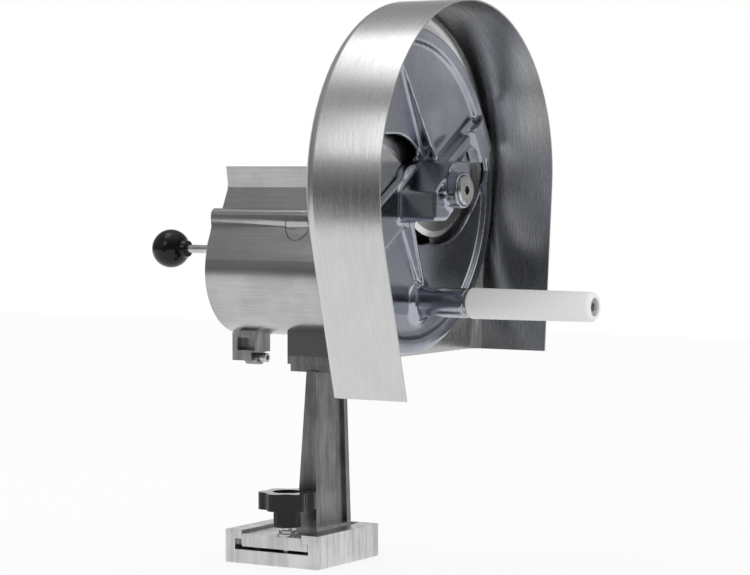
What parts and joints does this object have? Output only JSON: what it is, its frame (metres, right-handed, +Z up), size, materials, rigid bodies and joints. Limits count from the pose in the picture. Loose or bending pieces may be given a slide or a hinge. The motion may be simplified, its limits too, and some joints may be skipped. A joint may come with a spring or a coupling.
{
  "type": "rotary vegetable slicer",
  "caption": "Hand-cranked rotary vegetable slicer: disc with half-moon blades and a hooded guard before a feed barrel with pusher, on a column clamped in a sliding counter base.",
  "frame": {"origin": "centre of the base's bottom face, on the counter", "axes": "+Z up, -Y towards the operator and the crank, +X to the right as the operator faces the disc; the base's channel runs along X"},
  "size_m": [0.3005, 0.4412, 0.488],
  "materials": {
    "cast_aluminium": "sand cast, tumbled to a fine satin grain",
    "barrel_aluminium": "cast, turned and milled bright with fine tool lines",
    "machined_aluminium": "smooth satin, darker than the castings",
    "polished_aluminium": "polished casting",
    "stainless_steel": "bright turned",
    "guard_steel": "brushed across the sheet's width",
    "blade_steel": "ground and polished",
    "bronze": "oiled sintered bronze",
    "black_plastic": "moulded glossy black",
    "white_plastic": "satin white"
  },
  "bodies": {
    "base": {"base_bracket": "cast_aluminium"},
    "slicer": {"pedestal": "cast_aluminium", "clamp_collar": "stainless_steel", "saddle_block": "machined_aluminium", "saddle_bolts": "stainless_steel", "barrel_housing": "barrel_aluminium", "rear_bracket": "barrel_aluminium", "rear_bracket_screw": "stainless_steel", "front_bush": "bronze", "rear_bush": "bronze", "guard": "guard_steel", "guard_screws": "stainless_steel"},
    "clamp_spindle": {"clamp_screw": "stainless_steel"},
    "clamp_head": {"clamp_knob": "black_plastic"},
    "shaft_and_blades": {"crank_shaft": "stainless_steel", "thrust_washer": "bronze", "shaft_retaining_ring": "stainless_steel", "blade_carrier": "stainless_steel", "carrier_screw": "stainless_steel", "upper_blade": "blade_steel", "lower_blade": "blade_steel", "blade_screws": "stainless_steel"},
    "crank_plate": {"face_plate": "polished_aluminium", "hub_set_screw": "stainless_steel", "handle_washer": "stainless_steel", "handle_bolt": "stainless_steel"},
    "grip": {"handle_grip": "white_plastic"},
    "pusher": {"pusher_plate": "white_plastic", "pusher_pins": "stainless_steel", "pusher_rod": "stainless_steel", "rod_nut": "stainless_steel", "ball_knob": "black_plastic"}
  },
  "joints": [
    {"name": "base_slide", "type": "slide", "parent": "base", "child": "slicer", "axis": [-1, 0, 0], "range_m": [0, 0.09]},
    {"name": "clamp_lift", "type": "slide", "parent": "slicer", "child": "clamp_spindle", "axis": [0, 0, 1], "range_m": [0, 0.002]},
    {"name": "clamp_turn", "type": "hinge", "parent": "clamp_spindle", "child": "clamp_head", "pos_m": [-0.0413, -0.0109, 0.05], "axis": [0, 0, 1], "range_deg": [0, 490]},
    {"name": "disc_spin", "type": "hinge", "parent": "slicer", "child": "shaft_and_blades", "pos_m": [0.0125, 0, 0.326], "axis": [0, 1, 0], "continuous": true},
    {"name": "slice_slide", "type": "slide", "parent": "shaft_and_blades", "child": "crank_plate", "axis": [0, -1, 0], "range_m": [0, 0.012]},
    {"name": "grip_spin", "type": "hinge", "parent": "crank_plate", "child": "grip", "pos_m": [0.02786, -0.16, 0.22901], "axis": [0, 1, 0], "continuous": true},
    {"name": "pusher_slide", "type": "slide", "parent": "slicer", "child": "pusher", "axis": [0, -1, 0], "range_m": [-0.095, 0.055]}
  ],
  "couplings": [
    {"joint": "clamp_turn", "follows": "clamp_lift", "rad_per_m": 4188.8}
  ]
}
